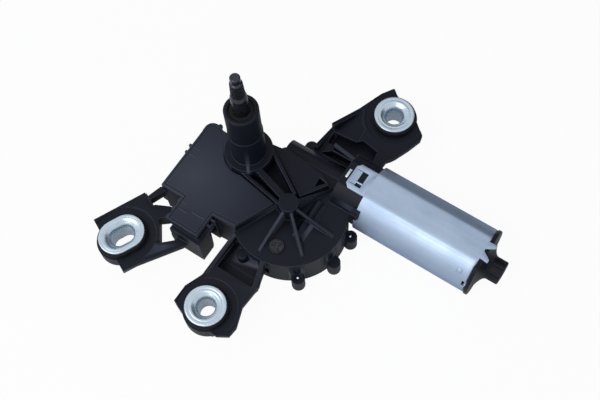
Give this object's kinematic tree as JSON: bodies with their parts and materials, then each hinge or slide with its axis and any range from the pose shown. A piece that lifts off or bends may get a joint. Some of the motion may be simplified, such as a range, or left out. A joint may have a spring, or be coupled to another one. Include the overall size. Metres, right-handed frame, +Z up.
{
  "type": "wiper motor",
  "caption": "Rear wiper drive: black gear housing on bushed mounting arms, output spindle in a tower, electronics box, and a round flat-sided steel motor can with an end cap.",
  "frame": {"origin": "on the spindle axis, at the base shoulder of the tower", "axes": "+Z up along the output spindle towards its stud; +X along the motor, from the worm to the end cap"},
  "size_m": [0.1889, 0.1659, 0.104],
  "materials": {
    "housing_plastic": "black moulded plastic, satin",
    "cap_plastic": "black moulded plastic, fine grain",
    "inner_plastic": "dark brown moulded plastic",
    "vent_membrane": "rough black membrane plug",
    "wheel_plastic": "natural acetal, satin",
    "board_laminate": "green solder mask",
    "can_steel": "zinc plated drawn steel, satin",
    "bush_zinc": "bright zinc plate",
    "spindle_steel": "black oxide steel, satin",
    "plain_steel": "ground steel",
    "bronze": "sintered bronze",
    "contact_brass": "bright brass",
    "copper": "enamelled copper",
    "ferrite": "dark grey ferrite",
    "carbon": "matt graphite",
    "capacitor_sleeve": "bare aluminium can",
    "thrust_plastic": "natural plastic",
    "rubber_black": "matt black rubber"
  },
  "bodies": {
    "housing": {"gear_housing": "housing_plastic", "tower_sleeve": "housing_plastic", "lower_spindle_bush": "bronze", "upper_spindle_bush": "bronze", "spindle_seal": "rubber_black", "wheel_axle": "plain_steel", "axle_clip": "plain_steel", "park_contacts": "contact_brass", "worm_end_bush": "bronze", "thrust_pad": "thrust_plastic", "front_bearing": "bronze", "bearing_clip": "plain_steel", "motor_can": "can_steel", "rear_bearing": "bronze", "field_magnets": "ferrite", "end_cap": "cap_plastic", "brush_plate": "inner_plastic", "brush_holders": "contact_brass", "carbon_brushes": "carbon", "brush_springs": "plain_steel", "choke_coils": "copper", "motor_terminals": "contact_brass", "electronics_cover": "housing_plastic", "circuit_board": "board_laminate", "park_relay": "inner_plastic", "capacitors": "capacitor_sleeve", "connector_terminals": "contact_brass", "bottom_cover": "housing_plastic", "bottom_seal": "rubber_black", "cover_screws": "plain_steel", "vent_plug": "vent_membrane", "earth_clip": "bush_zinc", "grommet_left": "rubber_black", "grommet_lower": "rubber_black", "grommet_right": "rubber_black", "bush_left_slotted": "bush_zinc", "bush_lower": "bush_zinc", "bush_right": "bush_zinc"},
    "armature": {"armature_shaft": "plain_steel", "drive_worm": "plain_steel", "lamination_core": "plain_steel", "armature_windings": "copper", "commutator": "copper"},
    "wheel": {"worm_wheel": "wheel_plastic", "park_contact_disc": "contact_brass"},
    "spindle": {"output_spindle": "spindle_steel", "spindle_circlip": "plain_steel", "spindle_clip": "plain_steel", "spindle_pinion": "plain_steel", "spindle_washer": "plain_steel"},
    "rocker": {"rocker_link": "plain_steel", "sector_pin": "plain_steel"},
    "rod": {"sector_rod": "plain_steel", "crank_pin": "plain_steel"}
  },
  "joints": [
    {"name": "armature_spin", "type": "hinge", "parent": "housing", "child": "armature", "pos_m": [0.05, 0.0165, -0.017], "axis": [1, 0, 0], "continuous": true},
    {"name": "wheel_spin", "type": "hinge", "parent": "housing", "child": "wheel", "pos_m": [0.033, -0.0135, -0.0175], "axis": [0, 0, 1], "continuous": true},
    {"name": "spindle_swing", "type": "hinge", "parent": "housing", "child": "spindle", "pos_m": [0, 0, 0], "axis": [0, 0, 1], "range_deg": [0, 108.6]},
    {"name": "link_swing", "type": "hinge", "parent": "housing", "child": "rocker", "pos_m": [0, 0, -0.0276], "axis": [0, 0, 1], "range_deg": [0, 39.73]},
    {"name": "rod_swing", "type": "hinge", "parent": "rocker", "child": "rod", "pos_m": [-0.00671, -0.02148, -0.0242], "axis": [0, 0, 1], "range_deg": [-34.45, 0]}
  ],
  "couplings": [
    {"joint": "wheel_spin", "follows": "armature_spin", "ratio": 0.015152},
    {"joint": "link_swing", "follows": "spindle_swing", "ratio": 0.36578},
    {"joint": "rod_swing", "follows": "spindle_swing", "ratio": -0.31711}
  ]
}
